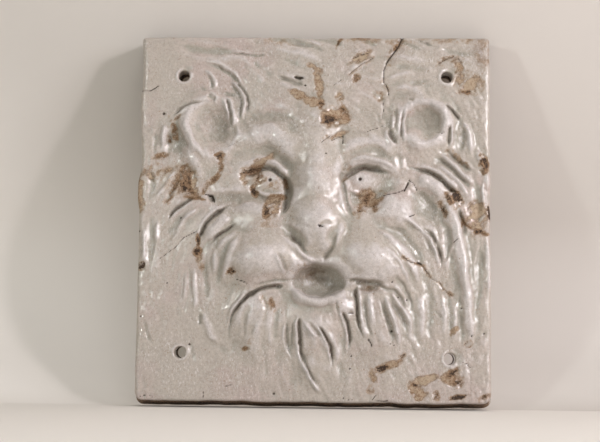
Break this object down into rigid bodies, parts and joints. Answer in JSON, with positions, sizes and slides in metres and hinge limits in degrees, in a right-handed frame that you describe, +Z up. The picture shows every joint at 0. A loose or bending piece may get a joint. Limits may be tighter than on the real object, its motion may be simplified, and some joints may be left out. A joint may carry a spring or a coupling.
{
  "type": "decorative wall plaque",
  "caption": "Nearly square glazed ceramic slab modelled in relief as a lion's head with cupped ears, an open round mouth and a long beard, pierced near each corner for a screw.",
  "frame": {"origin": "on the flat back, where it lies against the wall, behind the middle of the relief face", "axes": "+Z up the wall, +X to the viewer's right, +Y out of the back into the wall, the relief faces -Y"},
  "size_m": [0.2933, 0.0477, 0.3047],
  "materials": {
    "glaze": "off-white crackled gloss glaze, worn and chipped to brown clay in places; bare brown clay underneath and behind"
  },
  "bodies": {
    "root": {"plaque": "glaze"}
  },
  "joints": []
}
